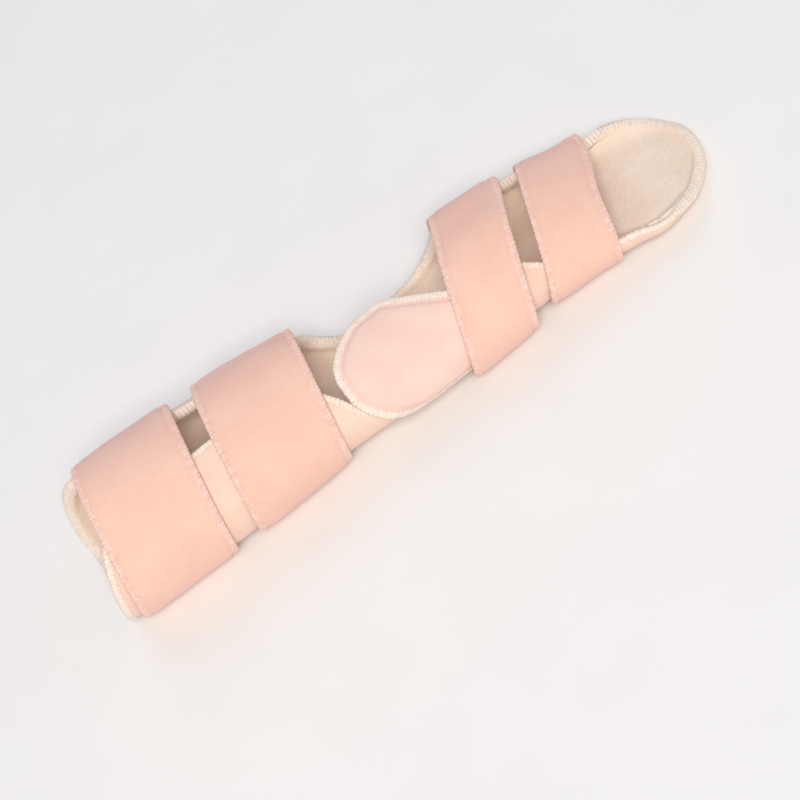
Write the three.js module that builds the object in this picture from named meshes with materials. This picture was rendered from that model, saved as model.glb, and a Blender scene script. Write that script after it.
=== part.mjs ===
import * as THREE from 'three';

// Sizes in millimetres. X runs from the forearm end to the fingertips, -Y is the near side, Z is up.
// A station is the distance from the forearm end.
const LENGTH = 372;
const PAN_START = 334;
const PAN_ROUNDNESS = 3;
const PAN_END_ANGLE = 1.46;
const GAP = 0.3;
const COVER_WALL = 2.6;
const LINING_WALL = 2.2;
const STRAP_WALL = 3.2;
const FLAP_WALL = 3.6;
const RIM_BULGE = 0.7;

// The outside of the trough at each station: half of its width, half of its flat underside, the height
// of its widest place, its full height, how far its underside is above the table, and how far its
// middle lies towards the near side.
const SECTIONS = [
  { station: 0, halfWidth: 37.6, flatHalf: 18, widestAt: 31.5, height: 68, bottom: 3.5, side: 1.5 },
  { station: 26, halfWidth: 38.6, flatHalf: 18, widestAt: 31, height: 66, bottom: 3.5, side: 1.5 },
  { station: 66, halfWidth: 39.5, flatHalf: 18, widestAt: 28, height: 59.6, bottom: 3.5, side: 1.5 },
  { station: 110, halfWidth: 38.7, flatHalf: 17, widestAt: 24.9, height: 53, bottom: 3.5, side: 1.6 },
  { station: 144, halfWidth: 35, flatHalf: 15.5, widestAt: 23, height: 49, bottom: 3.5, side: 2.6 },
  { station: 171, halfWidth: 35, flatHalf: 15.5, widestAt: 21.1, height: 45.2, bottom: 3.5, side: 4 },
  { station: 190, halfWidth: 37.5, flatHalf: 16, widestAt: 20.8, height: 44.8, bottom: 3.5, side: 3.2 },
  { station: 210, halfWidth: 41.6, flatHalf: 15.4, widestAt: 20.6, height: 45.4, bottom: 3.5, side: 0.3 },
  { station: 254, halfWidth: 39.4, flatHalf: 15.8, widestAt: 19.7, height: 42.6, bottom: 3.5, side: 0.2 },
  { station: 288, halfWidth: 38.8, flatHalf: 19, widestAt: 16.2, height: 35.6, bottom: 3.5, side: 0.7 },
  { station: 312, halfWidth: 38.4, flatHalf: 22.5, widestAt: 12, height: 28, bottom: 3.5, side: 4.2 },
  { station: 328, halfWidth: 40, flatHalf: 25.5, widestAt: 11, height: 22, bottom: 3.4, side: 5.6 },
  { station: 340, halfWidth: 39.6, flatHalf: 23, widestAt: 12.2, height: 22, bottom: 2.3, side: 3.8 },
  { station: 350, halfWidth: 38.6, flatHalf: 19.2, widestAt: 13.4, height: 22, bottom: 1.3, side: 2 },
  { station: 360, halfWidth: 36, flatHalf: 15.6, widestAt: 13.8, height: 22, bottom: 0.7, side: -0.6 },
  { station: 372, halfWidth: 30, flatHalf: 10, widestAt: 13.8, height: 22, bottom: 0.4, side: -3 },
];

// The trough's flat cut: how far it reaches up each side, measured round the section from the middle
// underneath.
const OUTLINE = [
  { station: 0, near: 40, far: 40 },
  { station: 3, near: 58, far: 56 },
  { station: 9, near: 76.5, far: 70 },
  { station: 16, near: 89, far: 79 },
  { station: 28, near: 96.5, far: 84 },
  { station: 82, near: 99.5, far: 86 },
  { station: 116, near: 96.5, far: 84 },
  { station: 134, near: 86, far: 78 },
  { station: 147, near: 70, far: 66 },
  { station: 158, near: 51, far: 48 },
  { station: 172, near: 41, far: 38 },
  { station: 208, near: 40, far: 37 },
  { station: 230, near: 54.5, far: 45.5 },
  { station: 244, near: 69.4, far: 61 },
  { station: 256, near: 70.8, far: 67 },
  { station: 270, near: 61.2, far: 67 },
  { station: 290, near: 50, far: 59 },
  { station: 306, near: 49, far: 52.5 },
  { station: 318, near: 48.2, far: 50.2 },
  { station: 328, near: 47.4, far: 49 },
  { station: 334, near: 46.4, far: 47.6 },
  { station: 342, near: 43.4, far: 44.2 },
  { station: 350, near: 39.7, far: 40.6 },
  { station: 358, near: 35.4, far: 35.2 },
  { station: 366, near: 33, far: 29 },
  { station: 372, near: 33, far: 22 },
];

// Each strap's middle at half height, its width, and how far it leans along X across and up the section.
// It starts on the far side at firstTurn, passes underneath and over the top, and laps over its own start
// between lapFrom and lastTurn, all in half girths from the middle underneath. Its edge towards the
// fingertips is drawn in by the narrowing as it climbs over the top.
const STRAPS = [
  {
    name: 'forearm_strap', station: 43, width: 56,
    leanAcross: 0.1, leanUp: 0.166, firstTurn: -0.56, lapFrom: 1.3, lastTurn: 1.7, narrowing: 0,
  },
  {
    name: 'wrist_strap', station: 114.5, width: 57,
    leanAcross: 0.121, leanUp: 0.143, firstTurn: -0.56, lapFrom: 1.3, lastTurn: 1.7, narrowing: 0,
  },
  {
    name: 'palm_strap', station: 244.8, width: 39.6,
    leanAcross: 0.318, leanUp: 0.245, firstTurn: -0.48, lapFrom: 1.39, lastTurn: 1.68, narrowing: 0,
  },
  {
    name: 'finger_strap', station: 297.7, width: 40,
    leanAcross: 0.334, leanUp: 0.227, firstTurn: -0.47, lapFrom: 1.4, lastTurn: 1.6, narrowing: 5,
  },
];
const LAP_RISE = 0.11;
const NARROWING_TURNS = { from: 0.45, to: 0.92 };
const STRAP_OVER_FLAP = 'palm_strap';

// The flap's lower and upper edges on the near side, measured round the section.
const FLAP = [
  { station: 153, low: 69, high: 81.5 },
  { station: 155, low: 64, high: 87.7 },
  { station: 160, low: 56.5, high: 93.7 },
  { station: 168, low: 49.5, high: 99.7 },
  { station: 178, low: 44.5, high: 103.7 },
  { station: 190, low: 42.5, high: 104.2 },
  { station: 204, low: 42.5, high: 96.6 },
  { station: 222, low: 44, high: 84.2 },
  { station: 236, low: 45.5, high: 74 },
  { station: 246, low: 49, high: 67.2 },
];
const FLAP_LEVEL_TO = 210;
// Where the palm strap rises over the flap and comes down again.
const FLAP_RISE = { from: 27, to: 39, back: 87, down: 114 };

const COVER_ROWS = 30;
const PAN_ROWS = 6;
const COVER_COLUMNS = 18;
const END_CLOSENESS = 0.72;
const PAN_CLOSENESS = 0.62;
const STRAP_ROWS = 52;
const STRAP_COLUMNS = 4;
const FLAP_ROWS = 14;
const FLAP_COLUMNS = 10;
const FLAP_CLOSENESS = 0.55;
const CURVE_STEPS = 40;

const COVER_COLOUR = 0xf6dccb;
const LINING_COLOUR = 0xe9d9c2;
const STRAP_COLOUR = 0xf3cbb8;
const FLAP_COLOUR = 0xf7dccf;

// A smooth value from a table that doesn't overshoot its rows.
function tableAt(table, column, station) {
  const last = table.length - 1;
  const at = Math.min(Math.max(station, table[0].station), table[last].station);
  let row = 0;
  while (row < last - 1 && at > table[row + 1].station) row += 1;
  const rise = (k) => (table[k + 1][column] - table[k][column]) / (table[k + 1].station - table[k].station);
  const slope = (k) => {
    if (k === 0) return rise(0);
    if (k === last) return rise(last - 1);
    const before = rise(k - 1);
    const after = rise(k);
    return before * after <= 0 ? 0 : (2 * before * after) / (before + after);
  };
  const span = table[row + 1].station - table[row].station;
  const t = (at - table[row].station) / span;
  const away = t * t * (3 - 2 * t);
  return (
    table[row][column] * (1 - away) +
    table[row + 1][column] * away +
    span * t * (1 - t) * ((1 - t) * slope(row) - t * slope(row + 1))
  );
}

function ramp(value, from, to) {
  const t = Math.min(Math.max((value - from) / (to - from), 0), 1);
  return t * t * (3 - 2 * t);
}

// The half section at a station, as points with their distance from the middle underneath.
function sectionAt(station) {
  const columns = ['halfWidth', 'flatHalf', 'widestAt', 'height', 'bottom', 'side'];
  const [halfWidth, flatHalf, widestAt, height, bottom, side] = columns.map((column) =>
    tableAt(SECTIONS, column, station),
  );
  const points = [new THREE.Vector2(0, 0)];
  for (let k = 0; k <= CURVE_STEPS; k += 1) {
    const turn = (Math.PI / 2) * (k / CURVE_STEPS);
    points.push(
      new THREE.Vector2(flatHalf + (halfWidth - flatHalf) * Math.sin(turn), widestAt * (1 - Math.cos(turn))),
    );
  }
  for (let k = 1; k <= CURVE_STEPS; k += 1) {
    const turn = (Math.PI / 2) * (k / CURVE_STEPS);
    points.push(
      new THREE.Vector2(halfWidth * Math.cos(turn), widestAt + (height - widestAt) * Math.sin(turn)),
    );
  }
  const along = [0];
  for (let k = 1; k < points.length; k += 1) along.push(along[k - 1] + points[k].distanceTo(points[k - 1]));
  return { points, along, half: along[along.length - 1], bottom, height, side };
}

// The point at a distance round the section, positive on the near side, moved out by offset.
function pointOn(section, distance, offset) {
  let side = distance < 0 ? 1 : -1;
  let reach = Math.abs(distance);
  if (reach > section.half) {
    reach = 2 * section.half - reach;
    side = -side;
  }
  const last = section.along.length - 1;
  let k = 0;
  while (k < last - 1 && reach > section.along[k + 1]) k += 1;
  const t = (reach - section.along[k]) / (section.along[k + 1] - section.along[k]);
  const here = section.points[k].clone().lerp(section.points[k + 1], t);
  const tangentAt = (n) => {
    const from = section.points[Math.max(n - 1, 0)];
    const to = section.points[Math.min(n + 1, last)];
    return to.clone().sub(from).normalize();
  };
  const tangent = tangentAt(k).lerp(tangentAt(k + 1), t).normalize();
  const across = side * (here.x + tangent.y * offset);
  return { y: across - section.side, z: here.y - tangent.x * offset + section.bottom };
}

function place(section, station, distance, offset) {
  const { y, z } = pointOn(section, distance, offset);
  return new THREE.Vector3(station - LENGTH / 2, y, z);
}

// A closed wall between two grids of points, with a rounded rim all round.
function wall(outer, inner) {
  const rows = outer.length - 1;
  const columns = outer[0].length - 1;
  const loop = [];
  for (let j = 0; j < columns; j += 1) loop.push([0, j]);
  for (let i = 0; i < rows; i += 1) loop.push([i, columns]);
  for (let j = columns; j > 0; j -= 1) loop.push([rows, j]);
  for (let i = rows; i > 0; i -= 1) loop.push([i, 0]);
  const positions = [];
  const add = (p) => positions.push(p.x, p.y, p.z) / 3 - 1;
  const outerIndex = outer.map((row) => row.map(add));
  const innerIndex = inner.map((row) => row.map(add));
  const rimIndex = loop.map(([i, j]) => {
    const out = new THREE.Vector3();
    const inward = [
      [i === 0 ? 1 : i === rows ? rows - 1 : i, j],
      [i, j === 0 ? 1 : j === columns ? columns - 1 : j],
    ];
    for (const [k, l] of inward) {
      if (k !== i || l !== j) out.add(outer[i][j].clone().sub(outer[k][l]).normalize());
    }
    const rim = outer[i][j].clone().lerp(inner[i][j], 0.5);
    return add(rim.addScaledVector(out.normalize(), RIM_BULGE));
  });
  const index = [];
  const quad = (a, b, c, d) => index.push(a, b, c, a, c, d);
  for (let i = 0; i < rows; i += 1) {
    for (let j = 0; j < columns; j += 1) {
      quad(outerIndex[i][j], outerIndex[i + 1][j], outerIndex[i + 1][j + 1], outerIndex[i][j + 1]);
      quad(innerIndex[i][j], innerIndex[i][j + 1], innerIndex[i + 1][j + 1], innerIndex[i + 1][j]);
    }
  }
  loop.forEach(([i, j], k) => {
    const next = (k + 1) % loop.length;
    const [m, n] = loop[next];
    quad(outerIndex[i][j], outerIndex[m][n], rimIndex[next], rimIndex[k]);
    quad(rimIndex[k], rimIndex[next], innerIndex[m][n], innerIndex[i][j]);
  });
  const geometry = new THREE.BufferGeometry();
  geometry.setAttribute('position', new THREE.Float32BufferAttribute(positions, 3));
  geometry.setIndex(index);
  geometry.computeVertexNormals();
  return geometry;
}

function reachAt(station, side) {
  const t = Math.max(station - PAN_START, 0) / (LENGTH - PAN_START);
  return tableAt(OUTLINE, side, station) * Math.sqrt(1 - t ** PAN_ROUNDNESS);
}

// The stations of the trough's rows, closer together at the round pan and at the forearm end.
function coverStations() {
  const stations = [];
  for (let k = 0; k <= COVER_ROWS; k += 1) {
    const t = k / COVER_ROWS;
    stations.push(PAN_START * (t - END_CLOSENESS * t * (1 - t) ** 3 + PAN_CLOSENESS * t ** 3 * (1 - t)));
  }
  for (let k = 1; k <= PAN_ROWS; k += 1) {
    stations.push(PAN_START + (LENGTH - PAN_START) * Math.sin((PAN_END_ANGLE * k) / PAN_ROWS));
  }
  return stations;
}

function troughLayer(depth) {
  return coverStations().map((station) => {
    const section = sectionAt(station);
    const near = reachAt(station, 'near');
    const far = reachAt(station, 'far');
    const row = [];
    for (let j = 0; j <= COVER_COLUMNS; j += 1) {
      row.push(place(section, station, -far + ((near + far) * j) / COVER_COLUMNS, -depth));
    }
    return row;
  });
}

function strapLayer(strap, depth) {
  const middle = sectionAt(strap.station);
  const halfUp = middle.bottom + middle.height / 2;
  const rows = [];
  for (let i = 0; i <= STRAP_ROWS; i += 1) {
    const turn = strap.firstTurn + ((strap.lastTurn - strap.firstTurn) * i) / STRAP_ROWS;
    const core = pointOn(middle, turn * middle.half, GAP + STRAP_WALL);
    const shift = strap.leanAcross * core.y + strap.leanUp * (core.z - halfUp);
    const width = strap.width - strap.narrowing * ramp(turn, NARROWING_TURNS.from, NARROWING_TURNS.to);
    const row = [];
    for (let j = 0; j <= STRAP_COLUMNS; j += 1) {
      const station = strap.station + shift - strap.width / 2 + width * (1 - j / STRAP_COLUMNS);
      const section = sectionAt(station);
      const distance = turn * section.half;
      let offset = GAP + depth + (STRAP_WALL + GAP) * ramp(turn, strap.lapFrom, strap.lapFrom + LAP_RISE);
      if (strap.name === STRAP_OVER_FLAP) {
        const up = ramp(distance, FLAP_RISE.from, FLAP_RISE.to);
        offset += (FLAP_WALL + GAP) * up * (1 - ramp(distance, FLAP_RISE.back, FLAP_RISE.down));
      }
      row.push(place(section, station, distance, offset));
    }
    rows.push(row);
  }
  return rows;
}

// The flap keeps the palm's section as it reaches back over the narrower wrist.
function flapLayer(offset) {
  const first = FLAP[0].station;
  const last = FLAP[FLAP.length - 1].station;
  const rows = [];
  for (let i = 0; i <= FLAP_ROWS; i += 1) {
    const t = i / FLAP_ROWS;
    const station = first + (last - first) * t * (1 - FLAP_CLOSENESS * (1 - t));
    const section = sectionAt(Math.max(station, FLAP_LEVEL_TO));
    const low = tableAt(FLAP, 'low', station);
    const high = tableAt(FLAP, 'high', station);
    const row = [];
    for (let j = 0; j <= FLAP_COLUMNS; j += 1) {
      row.push(place(section, station, low + ((high - low) * j) / FLAP_COLUMNS, offset));
    }
    rows.push(row);
  }
  return rows;
}

const group = new THREE.Group();
group.name = 'wrist_splint';

function addPiece(name, geometry, colour) {
  const cloth = new THREE.MeshStandardMaterial({ color: colour, roughness: 0.9, metalness: 0 });
  const mesh = new THREE.Mesh(geometry, cloth);
  mesh.name = name;
  group.add(mesh);
}

addPiece('outer_cover', wall(troughLayer(0), troughLayer(COVER_WALL)), COVER_COLOUR);
const liningTop = COVER_WALL + GAP;
addPiece('lining', wall(troughLayer(liningTop), troughLayer(liningTop + LINING_WALL)), LINING_COLOUR);
for (const strap of STRAPS) {
  addPiece(strap.name, wall(strapLayer(strap, STRAP_WALL), strapLayer(strap, 0)), STRAP_COLOUR);
}
addPiece('hand_flap', wall(flapLayer(GAP + FLAP_WALL), flapLayer(GAP)), FLAP_COLOUR);

export default group;
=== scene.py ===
import math

import bpy
import numpy as np
from mathutils import Matrix, Vector


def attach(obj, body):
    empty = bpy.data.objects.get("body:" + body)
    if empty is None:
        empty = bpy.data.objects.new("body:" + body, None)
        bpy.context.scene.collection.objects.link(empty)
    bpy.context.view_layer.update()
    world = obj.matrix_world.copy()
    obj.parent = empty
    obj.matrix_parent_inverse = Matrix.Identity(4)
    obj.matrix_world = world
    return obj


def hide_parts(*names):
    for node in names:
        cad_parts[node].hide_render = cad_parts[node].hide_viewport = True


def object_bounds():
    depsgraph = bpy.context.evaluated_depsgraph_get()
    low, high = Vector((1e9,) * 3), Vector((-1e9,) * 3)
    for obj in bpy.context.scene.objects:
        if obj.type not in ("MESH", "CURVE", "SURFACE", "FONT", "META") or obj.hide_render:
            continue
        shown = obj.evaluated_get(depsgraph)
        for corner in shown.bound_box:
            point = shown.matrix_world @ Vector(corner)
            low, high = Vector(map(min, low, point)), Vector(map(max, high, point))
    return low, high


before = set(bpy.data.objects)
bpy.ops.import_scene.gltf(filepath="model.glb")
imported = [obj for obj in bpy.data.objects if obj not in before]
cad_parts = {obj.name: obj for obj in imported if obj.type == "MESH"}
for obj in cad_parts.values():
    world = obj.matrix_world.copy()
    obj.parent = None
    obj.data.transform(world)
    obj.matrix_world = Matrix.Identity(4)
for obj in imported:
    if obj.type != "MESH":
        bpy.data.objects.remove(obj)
cadBox = [list(corner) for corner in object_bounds()]
print("frame loaded with", len(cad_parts), "solids")

mm = 0.001  # all cloth is laid out in millimetres and made in metres
gap = 0.3


def linear(hexColour):
    channels = [int(hexColour[k:k + 2], 16) / 255 for k in (1, 3, 5)]
    return tuple(c / 12.92 if c <= 0.04045 else ((c + 0.055) / 1.055) ** 2.4 for c in channels) + (1.0,)


def ramp(value, start, end):
    t = np.clip((value - start) / (end - start), 0, 1)
    return t * t * (3 - 2 * t)


# a smooth value from a table that doesn't overshoot its rows
def valueAt(table, column, station):
    xs = np.array(table["station"], float)
    ys = np.array(table[column], float)
    rise = np.diff(ys) / np.diff(xs)
    both = rise[:-1] * rise[1:]
    total = np.where(both > 0, rise[:-1] + rise[1:], 1)
    slope = np.concatenate([rise[:1], np.where(both > 0, 2 * both / total, 0), rise[-1:]])
    at = np.clip(station, xs[0], xs[-1])
    row = np.clip(np.searchsorted(xs, at) - 1, 0, len(xs) - 2)
    span = xs[row + 1] - xs[row]
    t = (at - xs[row]) / span
    away = t * t * (3 - 2 * t)
    bend = span * t * (1 - t) * ((1 - t) * slope[row] - t * slope[row + 1])
    return ys[row] * (1 - away) + ys[row + 1] * away + bend


# the outside of the trough at each station, in mm from the forearm end
form = {
    "length": 372.0,
    "curveSteps": 40,
    "sections": {
        "station": [0, 26, 66, 110, 144, 171, 190, 210, 254, 288, 312, 328, 340, 350, 360, 372],
        "halfWidth": [37.6, 38.6, 39.5, 38.7, 35, 35, 37.5, 41.6, 39.4, 38.8, 38.4, 40, 39.6, 38.6, 36, 30],
        "flatHalf": [18, 18, 18, 17, 15.5, 15.5, 16, 15.4, 15.8, 19, 22.5, 25.5, 23, 19.2, 15.6, 10],
        "widestAt": [31.5, 31, 28, 24.9, 23, 21.1, 20.8, 20.6, 19.7, 16.2, 12, 11, 12.2, 13.4, 13.8, 13.8],
        "height": [68, 66, 59.6, 53, 49, 45.2, 44.8, 45.4, 42.6, 35.6, 28, 22, 22, 22, 22, 22],
        "bottom": [3.5, 3.5, 3.5, 3.5, 3.5, 3.5, 3.5, 3.5, 3.5, 3.5, 3.5, 3.4, 2.3, 1.3, 0.7, 0.4],
        "side": [1.5, 1.5, 1.5, 1.6, 2.6, 4, 3.2, 0.3, 0.2, 0.7, 4.2, 5.6, 3.8, 2, -0.6, -3],
    },
}


# half sections as points, with their distance from the middle underneath
def sectionsAt(station):
    column = {k: valueAt(form["sections"], k, station)[:, None] for k in form["sections"] if k != "station"}
    turn = np.linspace(0, math.pi / 2, form["curveSteps"] + 1)[None, :]
    width, flat, widest = column["halfWidth"], column["flatHalf"], column["widestAt"]
    start = np.zeros_like(width)
    lowerY = flat + (width - flat) * np.sin(turn)
    lowerZ = widest * (1 - np.cos(turn))
    upperY = width * np.cos(turn[:, 1:])
    upperZ = widest + (column["height"] - widest) * np.sin(turn[:, 1:])
    points = np.stack([np.hstack([start, lowerY, upperY]), np.hstack([start, lowerZ, upperZ])], 2)
    along = np.cumsum(np.linalg.norm(np.diff(points, axis=1), axis=2), axis=1)
    along = np.hstack([start, along])
    padded = np.concatenate([points[:, :1], points, points[:, -1:]], 1)
    tangent = padded[:, 2:] - padded[:, :-2]
    tangent /= np.linalg.norm(tangent, axis=2, keepdims=True)
    return points, along, tangent, column["bottom"][:, 0], column["side"][:, 0]


def halfGirth(station):
    flat = np.ravel(np.asarray(station, float))
    unique, back = np.unique(flat, return_inverse=True)
    return sectionsAt(unique)[1][:, -1][back].reshape(np.shape(station))


# points at a distance round the section, positive on the near side, moved out by offset
def onSection(station, distance, offset, sectionStation=None):
    if sectionStation is None:
        sectionStation = station
    grids = np.broadcast_arrays(*[np.asarray(a, float) for a in (station, distance, offset, sectionStation)])
    shape = grids[0].shape
    station, distance, offset, sectionStation = [g.ravel() for g in grids]
    unique, back = np.unique(sectionStation, return_inverse=True)
    points, along, tangent, bottom, side = sectionsAt(unique)
    half = along[back, -1]
    over = np.abs(distance) > half
    reach = np.where(over, 2 * half - np.abs(distance), np.abs(distance))
    hand = np.where(distance < 0, 1.0, -1.0) * np.where(over, -1, 1)
    k = np.clip((along[back] < reach[:, None]).sum(1) - 1, 0, along.shape[1] - 2)
    t = ((reach - along[back, k]) / (along[back, k + 1] - along[back, k]))[:, None]
    here = points[back, k] * (1 - t) + points[back, k + 1] * t
    run = tangent[back, k] * (1 - t) + tangent[back, k + 1] * t
    run /= np.linalg.norm(run, axis=1, keepdims=True)
    y = hand * (here[:, 0] + run[:, 1] * offset) - side[back]
    z = here[:, 1] - run[:, 0] * offset + bottom[back]
    return np.stack([station - form["length"] / 2, y, z], 1).reshape(shape + (3,))


# distance from each flat point to the edge of its cut
def edgeDistance(flat, loop):
    points = flat.reshape(-1, 2)
    nearest = np.empty(len(points))
    for k in range(0, len(points), 2000):
        part = points[k:k + 2000, None, :] - loop[None, :, :]
        nearest[k:k + 2000] = np.sqrt((part ** 2).sum(2).min(1))
    return nearest.reshape(flat.shape[:-1])


def resample(loop, pitch):
    closed = np.vstack([loop, loop[:1]])
    along = np.concatenate([[0], np.cumsum(np.linalg.norm(np.diff(closed, axis=0), axis=1))])
    count = int(round(along[-1] / pitch))
    at = np.arange(count) * along[-1] / count
    return np.stack([np.interp(at, along, closed[:, k]) for k in (0, 1)], 1)


# how far the padded face sinks towards its sewn edge, with the seam's groove and a puffed roll beside it
def sink(pad, edge):
    slope = pad["drop"] * (1 - ramp(edge, 0, pad["reach"]))
    groove = pad["groove"] * np.exp(-((edge - pad["grooveAt"]) / pad["grooveWidth"]) ** 2)
    roll = pad["roll"] * np.exp(-((edge - pad["rollAt"]) / pad["rollWidth"]) ** 2)
    return slope + groove - roll


# slow uneven swelling of soft cloth, from -1 to 1 over lumps of about this size
def lumps(flat, size):
    a, b = flat[..., 0] * 2 * math.pi / size, flat[..., 1] * 2 * math.pi / size
    return (np.sin(a + 1.7 * np.sin(0.61 * b)) + np.sin(0.83 * b + 1.3 * np.sin(0.47 * a))
            + np.sin(0.71 * (a + b) + 2.1 * np.sin(0.39 * (a - b)))) / 3


def borderOf(rows, columns):
    loop = [(0, j) for j in range(columns)]
    loop += [(i, columns) for i in range(rows)]
    loop += [(rows, j) for j in range(columns, 0, -1)]
    loop += [(i, 0) for i in range(rows, 0, -1)]
    return np.array(loop)


# joins an outer and an inner grid into one closed cloth with a rounded rim
def closeCloth(name, outer, inner, flat, edge, bulge, rimSteps=4):
    rows, columns = outer.shape[0] - 1, outer.shape[1] - 1
    border = borderOf(rows, columns)
    bi, bj = border[:, 0], border[:, 1]
    away = np.zeros((len(border), 3))
    for ni, nj in ((np.clip(bi, 1, rows - 1), bj), (bi, np.clip(bj, 1, columns - 1))):
        step = outer[bi, bj] - outer[ni, nj]
        away += step / np.maximum(np.linalg.norm(step, axis=1, keepdims=True), 1e-9)
    away /= np.linalg.norm(away, axis=1, keepdims=True)
    middle = (outer[bi, bj] + inner[bi, bj]) / 2
    arm = outer[bi, bj] - middle
    rim = []
    for k in range(1, rimSteps):
        turn = math.pi * k / rimSteps
        rim.append(middle + arm * math.cos(turn) + away * bulge * math.sin(turn))
    count = outer[..., 0].size
    points = np.vstack([outer.reshape(-1, 3), inner.reshape(-1, 3)] + rim) * mm
    cell = np.arange(count).reshape(rows + 1, columns + 1)
    a, b, c, d = cell[:-1, :-1], cell[1:, :-1], cell[1:, 1:], cell[:-1, 1:]
    faces = [np.stack([a, b, c, d], -1).reshape(-1, 4), np.stack([a, d, c, b], -1).reshape(-1, 4) + count]
    rings = [cell[bi, bj]]
    rings += [2 * count + k * len(border) + np.arange(len(border)) for k in range(rimSteps - 1)]
    rings += [cell[bi, bj] + count]
    for upper, lower in zip(rings[:-1], rings[1:]):
        faces.append(np.stack([upper, np.roll(upper, -1), np.roll(lower, -1), lower], 1))
    cloth = np.vstack([flat.reshape(-1, 2)] * 2 + [flat[bi, bj]] * (rimSteps - 1))
    edges = np.concatenate([edge.ravel()] * 2 + [np.zeros(len(border))] * (rimSteps - 1))
    return addMesh(name, points, np.vstack(faces), cloth, edges)


def addMesh(name, points, faces, cloth, edges=None):
    mesh = bpy.data.meshes.new(name)
    mesh.from_pydata(points.tolist(), [], faces.tolist())
    corners = np.empty(len(mesh.loops), np.int32)
    mesh.loops.foreach_get("vertex_index", corners)
    mesh.uv_layers.new(name="cloth").data.foreach_set("uv", (cloth[corners] * mm).astype(np.float32).ravel())
    if edges is not None:
        mesh.attributes.new("edge", "FLOAT", "POINT").data.foreach_set("value", edges.astype(np.float32))
    mesh.polygons.foreach_set("use_smooth", np.ones(len(mesh.polygons), bool))
    mesh.update()
    piece = bpy.data.objects.new(name, mesh)
    bpy.context.scene.collection.objects.link(piece)
    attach(piece, "root")
    return piece


# points that wrap the edge of a cut from its face to its back, at each place along the loop
def edgeWrap(loop, pitch, lift, face, back, thread, raised, uneven):
    at = resample(loop, pitch)
    count = np.arange(len(at))
    pull = 1 + uneven * np.sin(2.4 * count + 1.3 * np.sin(0.7 * count))  # no two stitches pull alike
    run = np.roll(at, -1, 0) - np.roll(at, 1, 0)
    run /= np.linalg.norm(run, axis=1, keepdims=True)
    turning = loop[:, 0] * np.roll(loop[:, 1], -1) - np.roll(loop[:, 0], -1) * loop[:, 1]
    inward = np.stack([-run[:, 1], run[:, 0]], 1) * np.sign(turning.sum())
    middle = (face(0.0) + back(0.0)) / 2
    stops = []
    for depth, lean, rise, size in thread["faceStops"]:
        depth = depth * thread["band"] * pull
        stops.append((depth, lean, face(depth) + thread["base"] + rise * raised, size))
    stops.append((-thread["proud"] * pull * min(raised / thread["thick"], 1), 0.0, middle, 1.0))
    for depth, lean, rise, size in thread["backStops"]:
        depth = depth * thread["backBand"] * pull
        stops.append((depth, lean, back(depth) - thread["base"] - rise * raised, size))
    path = []
    for depth, lean, offset, _ in stops:
        path.append(lift(at + inward * depth[:, None] + run * lean * thread["pitch"], offset))
    path = np.stack(path, 1)
    beside = lift(at + run * 0.5, middle) - lift(at - run * 0.5, middle)
    beside /= np.linalg.norm(beside, axis=1, keepdims=True)
    return path, beside, np.array([stop[3] for stop in stops])


# overlock stitches round the edge of a cut: flat bundles of thread over a close wrap of the same thread
def overlock(name, loop, lift, face, back, thread):
    thick = thread["thick"]
    path, beside, sizes = edgeWrap(loop, thread["pitch"], lift, face, back, thread, thick, thread["uneven"])
    upward = np.cross(np.gradient(path, axis=1), beside[:, None, :])
    upward /= np.linalg.norm(upward, axis=2, keepdims=True)
    sides = thread["sides"]
    turn = np.arange(sides) * 2 * math.pi / sides
    wide = thread["wide"] * thread["pitch"] / 2
    stitches, steps = path.shape[:2]
    wave = 1 + 0.12 * np.sin(np.arange(stitches) * 2.4)
    ring = (
        beside[:, None, None, :] * (np.cos(turn) * wide)[None, None, :, None] * wave[:, None, None, None]
        + upward[:, :, None, :] * (np.sin(turn) * thick)[None, None, :, None]
    ) * sizes[None, :, None, None]
    tubes = (path[:, :, None, :] + ring).reshape(-1, 3)
    index = np.arange(len(tubes)).reshape(stitches, steps, sides)
    ahead = np.roll(index, -1, 2)
    quads = np.stack([index[:, :-1], ahead[:, :-1], ahead[:, 1:], index[:, 1:]], -1).reshape(-1, 4)
    wrap = edgeWrap(loop, thread["pitch"] / 2, lift, face, back, thread, thick * thread["wrap"], 0.0)[0]
    cell = np.arange(wrap[..., 0].size).reshape(wrap.shape[:2]) + len(tubes)
    after = np.roll(cell, -1, 0)
    under = np.stack([cell[:, :-1], after[:, :-1], after[:, 1:], cell[:, 1:]], -1).reshape(-1, 4)
    points = np.vstack([tubes, wrap.reshape(-1, 3)]) * mm
    cloth = np.zeros((len(points), 2))
    cloth[:len(tubes), 1] = np.tile(turn, stitches * steps)
    return addMesh(name, points, np.vstack([quads, under]), cloth)


# adds a node with its settings and links; a number as key is the place of a socket
def addNode(material, kind, settings=None, links=None):
    tree = material.node_tree
    node = tree.nodes.new("ShaderNode" + kind)
    for key, value in (settings or {}).items():
        if key == "stops":
            for place, colour in zip(node.color_ramp.elements, value):
                place.position, place.color = colour
        elif isinstance(key, int) or key in node.inputs:
            node.inputs[key].default_value = value
        else:
            setattr(node, key, value)
    for key, source in (links or {}).items():
        tree.links.new(source, node.inputs[key])
    return node


def newMaterial(name):
    material = bpy.data.materials.new(name)
    material.use_nodes = True
    material.node_tree.nodes.clear()
    return material


wavePeriod = math.pi / 10  # Blender's wave texture repeats at this length at scale 1


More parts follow.
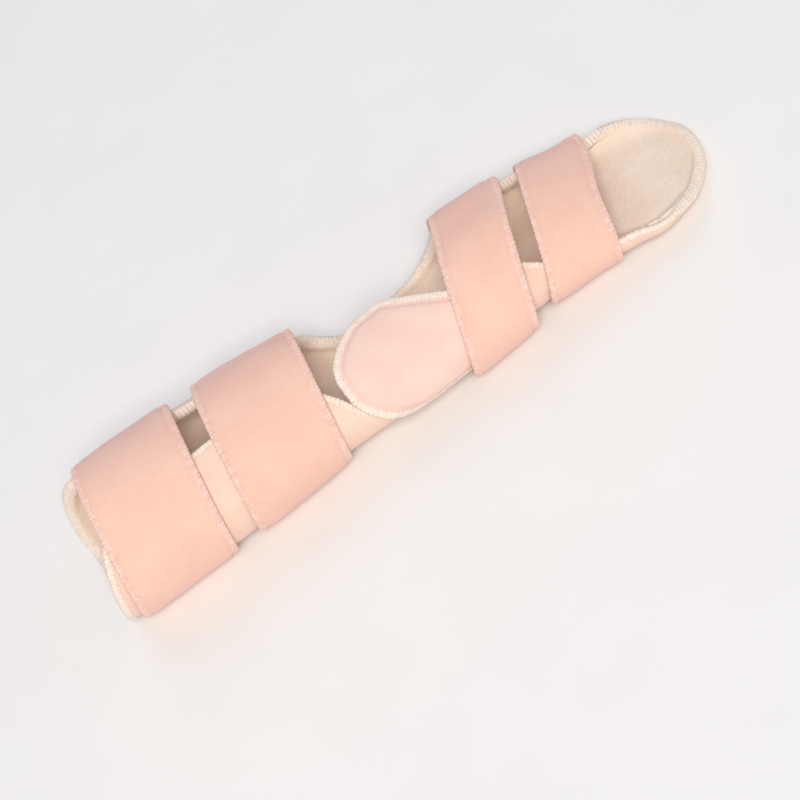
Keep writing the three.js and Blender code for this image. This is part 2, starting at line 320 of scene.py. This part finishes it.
# a knit or brushed cloth: loops as bump, slow colour drift, and a band along the sewn edge, darker as painted
# shade on the straps, cover and flap, paler cream on the plush rim
def clothMaterial(look):
    material = newMaterial(look["name"])
    cloth = addNode(material, "UVMap", {"uv_map": "cloth"})
    place = addNode(material, "TexCoord")
    edge = addNode(material, "Attribute", {"attribute_name": "edge"})
    drift = addNode(material, "TexNoise", {"Scale": 1 / (look["driftMm"] * mm), "Detail": 3.0},
                    {"Vector": place.outputs["Object"]})
    tones = [(0.35, linear(look["deep"])), (0.65, linear(look["pale"]))]
    driftMix = addNode(material, "ValToRGB", {"stops": tones}, {"Fac": drift.outputs["Fac"]})
    fleck = addNode(material, "TexNoise", {"Scale": 1 / (look["fleckMm"] * mm), "Detail": 2.0},
                    {"Vector": place.outputs["Object"]})
    fleckFactor = addNode(material, "MapRange", {"From Min": 0.3, "From Max": 0.7, "To Max": look["fleck"]},
                          {"Value": fleck.outputs["Fac"]})
    flecked = addNode(material, "Mix", {"data_type": "RGBA", 7: linear(look["shade"])},
                      {0: fleckFactor.outputs["Result"], 6: driftMix.outputs["Color"]})
    # the band along the sewn edge: where its colour is darker than the cloth (straps, cover, flap) it is
    # painted shade where the padded face sinks to the seam; on the plush it is a paler cream rim
    band = addNode(material, "MapRange", {"From Min": 0.0, "From Max": look["bandMm"], "To Min": look["band"],
                                          "To Max": 0.0, "interpolation_type": "SMOOTHSTEP"},
                   {"Value": edge.outputs["Fac"]})
    banded = addNode(material, "Mix", {"data_type": "RGBA", 7: linear(look["bandColour"])},
                     {0: band.outputs["Result"], 6: flecked.outputs[2]})
    ribs = addNode(material, "TexWave", {"Scale": wavePeriod / (look["ribMm"] * mm), "Distortion": 1.2,
                                         "Detail": 1.0, "Detail Scale": 1.5, "bands_direction": "X"},
                   {"Vector": cloth.outputs["UV"]})
    loops = addNode(material, "TexWave", {"Scale": wavePeriod / (look["loopMm"] * mm), "Distortion": 1.6,
                                          "Detail": 1.0, "Detail Scale": 1.5, "bands_direction": "Y"},
                    {"Vector": cloth.outputs["UV"]})
    knit = addNode(material, "Math", {"operation": "MULTIPLY"},
                   {0: ribs.outputs["Fac"], 1: loops.outputs["Fac"]})
    nap = addNode(material, "TexNoise", {"Scale": 1 / (look["napMm"] * mm), "Detail": 4.0, "Roughness": 0.65},
                  {"Vector": place.outputs["Object"]})
    napBump = addNode(material, "Bump", {"Strength": look["napStrength"], "Distance": look["napDeep"] * mm},
                      {"Height": nap.outputs["Fac"]})
    knitBump = addNode(material, "Bump",
                       {"Strength": look["knitStrength"], "Distance": look["knitDeep"] * mm},
                       {"Height": knit.outputs["Value"], "Normal": napBump.outputs["Normal"]})
    shader = addNode(material, "BsdfPrincipled",
                     {"Roughness": look["rough"], "IOR": 1.53, "Specular IOR Level": 0.25,
                      "Sheen Weight": look["sheen"], "Sheen Roughness": 0.5,
                      "Sheen Tint": linear(look["sheenColour"])},
                     {"Base Color": banded.outputs[2], "Normal": knitBump.outputs["Normal"]})
    addNode(material, "OutputMaterial", {}, {"Surface": shader.outputs["BSDF"]})
    return material


# textured polyester thread, wound in a loose bundle: soft, faintly ribbed along its run
def threadMaterial(look):
    material = newMaterial(look["name"])
    place = addNode(material, "TexCoord")
    cloth = addNode(material, "UVMap", {"uv_map": "cloth"})
    drift = addNode(material, "TexNoise", {"Scale": 1 / (2.5 * mm), "Detail": 2.0},
                    {"Vector": place.outputs["Object"]})
    tones = [(0.35, linear(look["deep"])), (0.65, linear(look["pale"]))]
    colour = addNode(material, "ValToRGB", {"stops": tones}, {"Fac": drift.outputs["Fac"]})
    strands = addNode(material, "TexWave", {"Scale": wavePeriod / (1.2 * mm), "Distortion": 2.0,
                                            "bands_direction": "DIAGONAL"}, {"Vector": cloth.outputs["UV"]})
    bump = addNode(material, "Bump", {"Strength": 0.35, "Distance": 0.15 * mm},
                   {"Height": strands.outputs["Fac"]})
    shader = addNode(material, "BsdfPrincipled",
                     {"Roughness": 0.75, "IOR": 1.54, "Specular IOR Level": 0.3, "Sheen Weight": 0.15,
                      "Sheen Roughness": 0.5},
                     {"Base Color": colour.outputs["Color"], "Normal": bump.outputs["Normal"]})
    addNode(material, "OutputMaterial", {}, {"Surface": shader.outputs["BSDF"]})
    return material


# brushed nylon loop knit on thin foam: matt peach with a soft nap that pales at grazing angles
# its loops are about 0.7 mm; they are drawn half as large again so they show
# its darker mauve band along the sewn edge is painted shade where the padded face sinks to the seam
strapKnit = clothMaterial({
    "name": "brushedLoopKnit", "deep": "#f6c9b5", "pale": "#f9d0bd", "shade": "#ecb8a7", "fleck": 0.2,
    "driftMm": 26, "fleckMm": 2.6, "bandMm": 5.0, "band": 0.2, "bandColour": "#ecb9ab",
    "ribMm": 1.1, "loopMm": 0.95,
    "knitStrength": 0.2, "knitDeep": 0.22, "napMm": 0.9, "napStrength": 0.25, "napDeep": 0.3,
    "rough": 0.92, "sheen": 0.3, "sheenColour": "#e6cbe8",
})
# warp knit tricot over foam: paler and smoother than the straps
# its darker band along the sewn edge is painted shade where the padded face rolls down to the seam
coverTricot = clothMaterial({
    "name": "tricotCover", "deep": "#f5d3c1", "pale": "#f9dccb", "shade": "#ecc0ad", "fleck": 0.2,
    "driftMm": 22, "fleckMm": 2.2, "bandMm": 5.0, "band": 0.25, "bandColour": "#ecc3b0",
    "ribMm": 1.3, "loopMm": 1.1,
    "knitStrength": 0.3, "knitDeep": 0.18, "napMm": 0.8, "napStrength": 0.2, "napDeep": 0.25,
    "rough": 0.9, "sheen": 0.2, "sheenColour": "#ffe6da",
})
# the flap's tricot, quilted onto thicker foam, a little pinker
# its darker band along the sewn edge is painted shade where the quilted face sinks to the seam
flapTricot = clothMaterial({
    "name": "tricotFlap", "deep": "#f6d2c5", "pale": "#f9dacd", "shade": "#efc2b4", "fleck": 0.2,
    "driftMm": 20, "fleckMm": 2.2, "bandMm": 6.5, "band": 0.35, "bandColour": "#efc4b5",
    "ribMm": 1.3, "loopMm": 1.1,
    "knitStrength": 0.3, "knitDeep": 0.18, "napMm": 0.8, "napStrength": 0.2, "napDeep": 0.25,
    "rough": 0.9, "sheen": 0.2, "sheenColour": "#ffe6da",
})
# brushed cotton plush: cream, with a deep uneven pile and no lines of its own
creamPlush = clothMaterial({
    "name": "creamPlush", "deep": "#f3ddcb", "pale": "#fae8d7", "shade": "#e6cfba", "fleck": 0.3,
    "driftMm": 18, "fleckMm": 1.8, "bandMm": 6.5, "band": 0.85, "bandColour": "#fdeed8",
    "ribMm": 2.2, "loopMm": 1.9,
    "knitStrength": 0.12, "knitDeep": 0.2, "napMm": 1.3, "napStrength": 0.6, "napDeep": 0.8,
    "rough": 0.95, "sheen": 0.35, "sheenColour": "#fff0df",
})
pinkThread = threadMaterial({"name": "pinkOverlockThread", "deep": "#f3c5b6", "pale": "#f9d6c9"})
creamThread = threadMaterial({"name": "creamOverlockThread", "deep": "#f3dfcf", "pale": "#faebdf"})
print("materials made:", len(bpy.data.materials))

# where a stitch passes on its way over the edge: share of its band in from the edge, lean in stitch
# spacings, rise in thread thicknesses, and thickness against the full one
faceStops = [
    (1.0, 0.32, -0.5, 0.6), (0.8, 0.26, 0.35, 0.9), (0.45, 0.14, 0.55, 1.0), (0.08, 0.04, 0.4, 1.0),
    (-0.08, 0.0, 0.1, 1.0),
]
backStops = [(-0.08, 0.0, 0.1, 1.0), (0.1, -0.04, 0.3, 1.0), (0.5, -0.12, 0.3, 0.9), (1.0, -0.22, -0.5, 0.6)]

trough = {
    "panStart": 334.0, "panRoundness": 3, "endAngle": 1.53,
    "outline": {
        "station": [0, 3, 9, 16, 28, 82, 116, 134, 147, 158, 172, 208, 230,
                    244, 256, 270, 290, 306, 318, 328, 334, 342, 350, 358, 366, 372],
        "near": [40, 58, 76.5, 89, 96.5, 99.5, 96.5, 86, 70, 51, 41, 40, 54.5,
                 69.4, 70.8, 61.2, 50, 49, 48.2, 47.4, 46.4, 43.4, 39.7, 35.4, 33, 33],
        "far": [40, 56, 70, 79, 84, 86, 84, 78, 66, 48, 38, 37, 45.5,
                61, 67, 67, 59, 52.5, 50.2, 49, 47.6, 44.2, 40.6, 35.2, 29, 22],
    },
    "coverWall": 2.6, "liningWall": 2.2, "rimBulge": 0.1, "columns": 104, "rowMm": 1.9, "panRows": 40,
    "edgeCloseness": 0.72,
    "coverPad": {"drop": 0.7, "reach": 4.0, "groove": 0.2, "grooveAt": 3.4, "grooveWidth": 0.8,
                 "roll": 0.0, "rollAt": 0.0, "rollWidth": 1.0},
    "liningPad": {"drop": 0.9, "reach": 2.2, "groove": 0.12, "grooveAt": 7.4, "grooveWidth": 2.6,
                  "roll": 1.3, "rollAt": 3.4, "rollWidth": 3.0},
    "pileLump": 0.16, "pileLumpMm": 7.0, "rollLump": 0.25, "rollLumpMm": 5.2,
    "thread": {"pitch": 2.3, "band": 2.6, "backBand": 3.6, "base": 0.14, "thick": 0.23, "wide": 1.0,
               "wrap": 1.7, "proud": 0.6, "uneven": 0.18, "sides": 8,
               "faceStops": faceStops, "backStops": backStops},
}


def troughReach(station, side):
    along = np.clip((station - trough["panStart"]) / (form["length"] - trough["panStart"]), 0, 1)
    return valueAt(trough["outline"], side, station) * np.sqrt(1 - along ** trough["panRoundness"])


def troughLift(flat, offset):
    return onSection(flat[..., 0], flat[..., 1], offset)


def makeTrough():
    start = np.array([0, 0.5, 1.1, 1.8, 2.6, 3.5, 4.6])
    body = np.linspace(6, trough["panStart"], int((trough["panStart"] - 6) / trough["rowMm"]))
    turn = np.linspace(0, trough["endAngle"], trough["panRows"] + 1)[1:]
    pan = trough["panStart"] + (form["length"] - trough["panStart"]) * np.sin(turn)
    rows = np.concatenate([start, body, pan])
    near, far = troughReach(rows, "near"), troughReach(rows, "far")
    v = np.linspace(0, 1, trough["columns"] + 1)
    v = v - trough["edgeCloseness"] * np.sin(2 * math.pi * v) / (2 * math.pi)  # columns closer at both edges
    across = -far[:, None] + (near + far)[:, None] * v[None, :]
    flat = np.stack([np.broadcast_to(rows[:, None], across.shape), across], 2)
    ends = np.linspace(-far[0], near[0], 60)
    tip = np.linspace(near[-1], -far[-1], 12)
    loop = np.vstack([
        np.stack([np.zeros(60), ends], 1), np.stack([rows, near], 1)[1:],
        np.stack([np.full(12, rows[-1]), tip], 1)[1:], np.stack([rows, -far], 1)[::-1][1:-1],
    ])
    fine = resample(loop, 0.8)
    edge = edgeDistance(flat, fine)
    widths = near + far
    trough["flatArea"] = ((widths[1:] + widths[:-1]) / 2 * np.diff(rows)).sum() * mm * mm
    trough["loop"] = fine
    coverWall, liningTop = trough["coverWall"], trough["coverWall"] + gap
    outer = troughLift(flat, -sink(trough["coverPad"], edge))
    inner = troughLift(flat, -coverWall + 0 * edge)
    cover = closeCloth("outerCover", outer, inner, flat, edge, trough["rimBulge"])
    upper = troughLift(flat, -liningTop + 0 * edge)
    uneven = trough["pileLump"] * lumps(flat, trough["pileLumpMm"]) * ramp(edge, 3, 9)
    onRoll = np.exp(-((edge - 3) / 2) ** 2)
    uneven = uneven + trough["rollLump"] * lumps(flat + 40, trough["rollLumpMm"]) * onRoll
    lower = troughLift(flat, -liningTop - trough["liningWall"] + sink(trough["liningPad"], edge) + uneven)
    lining = closeCloth("plushLining", upper, lower, flat, edge, trough["rimBulge"])
    face = lambda depth: -sink(trough["coverPad"], depth)
    back = lambda depth: -liningTop - trough["liningWall"] + sink(trough["liningPad"], depth)
    stitches = overlock("troughOverlock", fine, troughLift, face, back, trough["thread"])
    return cover, lining, stitches


cover, lining, troughStitches = makeTrough()
print("trough made, flat area", round(trough["flatArea"], 4), "m2")

strapCut = {
    "wall": 3.2, "rimBulge": 0.2, "lapRise": 0.11, "narrowFrom": 0.45, "narrowTo": 0.92,
    "rows": 230, "columns": 44, "endCloseness": 0.5, "edgeCloseness": 0.7,
    "flapUpFrom": 27, "flapUpTo": 39, "flapDownFrom": 87, "flapDownTo": 114, "flapWall": 3.6,
    "facePad": {"drop": 1.0, "reach": 5.5, "groove": 0.3, "grooveAt": 3.6, "grooveWidth": 0.8,
                "roll": 0.0, "rollAt": 0.0, "rollWidth": 1.0},
    "backPad": {"drop": 0.9, "reach": 4.0, "groove": 0.0, "grooveAt": 0.0, "grooveWidth": 1.0,
                "roll": 0.0, "rollAt": 0.0, "rollWidth": 1.0},
    "swell": 0.18, "swellMm": 31.0,
    "thread": {"pitch": 2.1, "band": 2.8, "backBand": 1.2, "base": 0.12, "thick": 0.23, "wide": 0.9,
               "wrap": 1.4, "proud": 0.5, "uneven": 0.15, "sides": 8,
               "faceStops": faceStops, "backStops": backStops},
}
straps = [
    {"name": "forearmStrap", "node": "forearm_strap", "station": 43, "width": 56, "leanAcross": 0.1,
     "leanUp": 0.166, "first": -0.56, "lapFrom": 1.3, "last": 1.7, "narrowing": 0, "overFlap": False},
    {"name": "wristStrap", "node": "wrist_strap", "station": 114.5, "width": 57, "leanAcross": 0.121,
     "leanUp": 0.143, "first": -0.56, "lapFrom": 1.3, "last": 1.7, "narrowing": 0, "overFlap": False},
    {"name": "palmStrap", "node": "palm_strap", "station": 244.8, "width": 39.6, "leanAcross": 0.318,
     "leanUp": 0.245, "first": -0.48, "lapFrom": 1.39, "last": 1.68, "narrowing": 0, "overFlap": True},
    {"name": "fingerStrap", "node": "finger_strap", "station": 297.7, "width": 40, "leanAcross": 0.334,
     "leanUp": 0.227, "first": -0.47, "lapFrom": 1.4, "last": 1.6, "narrowing": 5, "overFlap": False},
]


def makeStrap(strap):
    middle = float(strap["station"])
    half = float(halfGirth(middle))
    halfUp = valueAt(form["sections"], "bottom", middle) + valueAt(form["sections"], "height", middle) / 2

    # flat is across the strap and along it; the strap leans along the trough as it climbs,
    # and its edge towards the fingertips is drawn in over the top
    def lift(flat, offset):
        turn = flat[..., 1] / half
        core = onSection(middle, turn * half, gap + strapCut["wall"])
        shift = strap["leanAcross"] * core[..., 1] + strap["leanUp"] * (core[..., 2] - halfUp)
        drawnIn = strap["narrowing"] * ramp(turn, strapCut["narrowFrom"], strapCut["narrowTo"])
        station = middle + shift + flat[..., 0] - drawnIn * (flat[..., 0] / strap["width"] + 0.5)
        distance = turn * halfGirth(station)
        lapped = ramp(turn, strap["lapFrom"], strap["lapFrom"] + strapCut["lapRise"])
        out = offset + gap + (strapCut["wall"] + gap) * lapped
        if strap["overFlap"]:
            up = ramp(distance, strapCut["flapUpFrom"], strapCut["flapUpTo"])
            down = 1 - ramp(distance, strapCut["flapDownFrom"], strapCut["flapDownTo"])
            out = out + (strapCut["flapWall"] + gap) * up * down
        return onSection(station, distance, out)

    first, last = strap["first"] * half, strap["last"] * half
    v = np.linspace(0, 1, strapCut["rows"] + 1)
    v = v - strapCut["endCloseness"] * np.sin(2 * math.pi * v) / (2 * math.pi)
    w = np.linspace(0, 1, strapCut["columns"] + 1)
    w = w - strapCut["edgeCloseness"] * np.sin(2 * math.pi * w) / (2 * math.pi)
    across = strap["width"] * (0.5 - w)
    along = first + (last - first) * v
    flat = np.stack(np.meshgrid(along, across, indexing="ij")[::-1], 2)
    side = strap["width"] / 2
    corners = np.array([[side, first], [-side, first], [-side, last], [side, last]])
    loop = resample(corners, 0.8)
    edge = edgeDistance(flat, loop)
    face = lambda depth: strapCut["wall"] - sink(strapCut["facePad"], depth)
    back = lambda depth: sink(strapCut["backPad"], depth)
    swell = strapCut["swell"] * lumps(flat + strap["station"], strapCut["swellMm"]) * ramp(edge, 2, 9)
    outer, inner = lift(flat, face(edge) + swell), lift(flat, back(edge))
    piece = closeCloth(strap["name"], outer, inner, flat, edge, strapCut["rimBulge"])
    stitches = overlock(strap["name"] + "Overlock", loop, lift, face, back, strapCut["thread"])
    strap["flat"] = (strap["width"] * mm, (last - first) * mm)
    return piece, stitches


strapPieces = [makeStrap(strap) for strap in straps]
print("straps made:", len(strapPieces))

flap = {
    "cut": {
        "station": [153, 155, 160, 168, 178, 190, 204, 222, 236, 246],
        "low": [69, 64, 56.5, 49.5, 44.5, 42.5, 42.5, 44, 45.5, 49],
        "high": [81.5, 87.7, 93.7, 99.7, 103.7, 104.2, 96.6, 84.2, 74, 67.2],
    },
    "levelTo": 210, "wall": 3.6, "rimBulge": 0.2, "rows": 84, "columns": 64, "closeness": 0.72,
    "edgeCloseness": 0.6,
    "facePad": {"drop": 1.6, "reach": 8.5, "groove": 0.55, "grooveAt": 4.2, "grooveWidth": 0.9,
                "roll": 0.0, "rollAt": 0.0, "rollWidth": 1.0},
    "backPad": {"drop": 0.6, "reach": 3.0, "groove": 0.0, "grooveAt": 0.0, "grooveWidth": 1.0,
                "roll": 0.0, "rollAt": 0.0, "rollWidth": 1.0},
    "thread": {"pitch": 2.2, "band": 2.9, "backBand": 1.4, "base": 0.14, "thick": 0.23, "wide": 1.0,
               "wrap": 1.8, "proud": 0.7, "uneven": 0.22, "sides": 8,
               "faceStops": faceStops, "backStops": backStops},
}


# the flap keeps the palm's section as it reaches back over the narrower wrist
def flapLift(flat, offset):
    return onSection(flat[..., 0], flat[..., 1], offset, np.maximum(flat[..., 0], flap["levelTo"]))


def makeFlap():
    t = np.linspace(0, 1, flap["rows"] + 1)
    first, last = flap["cut"]["station"][0], flap["cut"]["station"][-1]
    rows = first + (last - first) * t * (1 - flap["closeness"] * (1 - t))
    low, high = valueAt(flap["cut"], "low", rows), valueAt(flap["cut"], "high", rows)
    v = np.linspace(0, 1, flap["columns"] + 1)
    v = v - flap["edgeCloseness"] * np.sin(2 * math.pi * v) / (2 * math.pi)
    distance = low[:, None] + (high - low)[:, None] * v[None, :]
    flat = np.stack([np.broadcast_to(rows[:, None], distance.shape), distance], 2)
    fine = np.linspace(0, 1, 30)
    loop = np.vstack([
        np.stack([np.full(30, rows[0]), low[0] + (high[0] - low[0]) * fine], 1),
        np.stack([rows, high], 1)[1:],
        np.stack([np.full(30, rows[-1]), high[-1] + (low[-1] - high[-1]) * fine], 1)[1:],
        np.stack([rows, low], 1)[::-1][1:-1],
    ])
    loop = resample(loop, 0.6)
    edge = edgeDistance(flat, loop)
    face = lambda depth: gap + flap["wall"] - sink(flap["facePad"], depth)
    back = lambda depth: gap + sink(flap["backPad"], depth)
    outer, inner = flapLift(flat, face(edge)), flapLift(flat, back(edge))
    piece = closeCloth("handFlap", outer, inner, flat, edge, flap["rimBulge"])
    stitches = overlock("handFlapOverlock", loop, flapLift, face, back, flap["thread"])
    return piece, stitches


flapPiece, flapStitches = makeFlap()
print("flap made")

# what each piece stands for and what it is made of
dressing = [(cover, "outer_cover", "cover_knit", coverTricot), (lining, "lining", "plush", creamPlush),
            (flapPiece, "hand_flap", "flap_knit", flapTricot)]
for strap, (piece, _) in zip(straps, strapPieces):
    dressing.append((piece, strap["node"], "strap_knit", strapKnit))
for piece, node, slot, material in dressing:
    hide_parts(node)
    piece.data.materials.append(material)
trims = [(troughStitches, "plush", creamThread), (flapStitches, "flap_knit", creamThread)]
trims += [(stitches, "strap_knit", pinkThread) for _, stitches in strapPieces]
for stitches, slot, material in trims:
    stitches.data.materials.append(material)
widestCut = max(a + b for a, b in zip(trough["outline"]["near"], trough["outline"]["far"]))

studio = {
    "floorDeep": "#f4f3f2", "floorPale": "#f6f5f4", "floorSize": 9.0, "floorGrainMm": 60,
    "worldColour": "#f6f6f8", "worldStrength": 0.39,
    "lights": [
        {"name": "nearKey", "at": (-0.2, -3.0, 3.4), "size": 1.8, "watts": 138, "colour": "#fffdf7"},
        {"name": "farFill", "at": (0.1, 2.0, 2.6), "size": 2.4, "watts": 20, "colour": "#e9e9ff"},
    ],
}


def makeStudio():
    size = studio["floorSize"] / 2
    floorMesh = bpy.data.meshes.new("floor")
    corners = [(-size, -size, 0), (size, -size, 0), (size, size, 0), (-size, size, 0)]
    floorMesh.from_pydata(corners, [], [(0, 1, 2, 3)])
    floor = bpy.data.objects.new("floor", floorMesh)
    floor.location.z = cadBox[0][2] - 0.0002
    bpy.context.scene.collection.objects.link(floor)
    paper = newMaterial("studioPaper")  # matt seamless paper, faintly uneven
    place = addNode(paper, "TexCoord")
    drift = addNode(paper, "TexNoise", {"Scale": 1 / (studio["floorGrainMm"] * mm)},
                    {"Vector": place.outputs["Object"]})
    tones = [(0.3, linear(studio["floorDeep"])), (0.7, linear(studio["floorPale"]))]
    tone = addNode(paper, "ValToRGB", {"stops": tones}, {"Fac": drift.outputs["Fac"]})
    shader = addNode(paper, "BsdfPrincipled", {"Roughness": 0.95, "Specular IOR Level": 0.1},
                     {"Base Color": tone.outputs["Color"]})
    addNode(paper, "OutputMaterial", {}, {"Surface": shader.outputs["BSDF"]})
    floorMesh.materials.append(paper)
    world = bpy.data.worlds.new("studioWorld")
    world.use_nodes = True
    sky = world.node_tree.nodes["Background"]
    sky.inputs["Color"].default_value = linear(studio["worldColour"])
    sky.inputs["Strength"].default_value = studio["worldStrength"]
    bpy.context.scene.world = world
    for spec in studio["lights"]:
        lamp = bpy.data.lights.new(spec["name"], "AREA")
        lamp.size, lamp.energy, lamp.color = spec["size"], spec["watts"], linear(spec["colour"])[:3]
        light = bpy.data.objects.new(spec["name"], lamp)
        light.location = spec["at"]
        light.rotation_euler = (Vector((0, 0, 0.02)) - light.location).to_track_quat("-Z", "Y").to_euler()
        bpy.context.scene.collection.objects.link(light)
    bpy.context.scene.view_settings.view_transform = "Standard"
    bpy.context.scene.view_settings.look = "None"


makeStudio()

viewpoint = {
    "target": (-0.0142, -0.0382, 0.025), "elevation": 48, "roll": 38, "distance": 1.15, "lens": 105.6,
}


def makeCamera():
    up, turn = math.radians(viewpoint["elevation"]), math.radians(viewpoint["roll"])
    back = Vector((0, -math.cos(up), math.sin(up)))
    right = Vector((1, 0, 0))
    upward = back.cross(right)
    cameraX = right * math.cos(turn) - upward * math.sin(turn)
    cameraY = right * math.sin(turn) + upward * math.cos(turn)
    data = bpy.data.cameras.new("photoCamera")
    data.lens, data.sensor_width = viewpoint["lens"], 36
    camera = bpy.data.objects.new("photoCamera", data)
    place = Vector(viewpoint["target"]) + back * viewpoint["distance"]
    camera.matrix_world = Matrix.Translation(place) @ Matrix((cameraX, cameraY, back)).transposed().to_4x4()
    bpy.context.scene.collection.objects.link(camera)
    bpy.context.scene.camera = camera


makeCamera()
